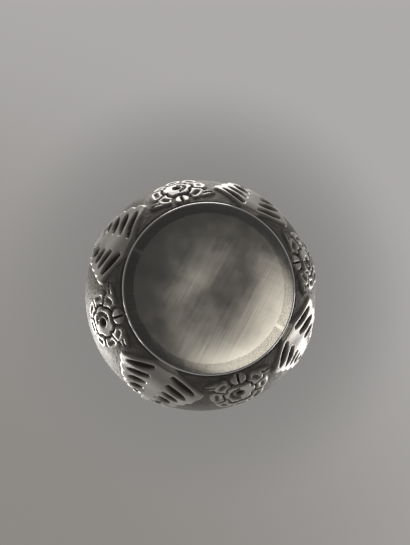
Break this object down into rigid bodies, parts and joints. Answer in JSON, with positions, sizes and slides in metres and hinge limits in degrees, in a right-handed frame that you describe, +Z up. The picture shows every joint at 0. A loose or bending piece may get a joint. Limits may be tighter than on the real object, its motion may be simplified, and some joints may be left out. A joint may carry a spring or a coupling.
{
  "type": "lidded silver box",
  "caption": "Small round box with a chased floral bowl, a flat soldered base plate, and a domed lid with a bud finial that lifts off.",
  "frame": {"origin": "centre of the base plate, on the surface it stands on", "axes": "+Z up the box's axis through the finial; +X through the middle of one chased leaf"},
  "size_m": [0.045, 0.045, 0.0408],
  "materials": {
    "bright_silver": "polished, finely scratched",
    "chased_silver": "chased, dark in the recesses",
    "plain_silver": "satin, lightly tarnished"
  },
  "bodies": {
    "body": {"base_plate": "bright_silver", "body_shell": "chased_silver", "body_rim_wire": "plain_silver", "lid_seat_collar": "plain_silver"},
    "lid": {"lid_shell": "chased_silver", "lid_rim_wire": "plain_silver", "finial_rosette": "chased_silver", "finial_ring": "plain_silver", "finial_bud": "plain_silver", "finial_washer": "plain_silver"}
  },
  "joints": [
    {"name": "lid_lift", "type": "slide", "parent": "body", "child": "lid", "axis": [0, 0, 1], "range_m": [0, 0.03]}
  ]
}
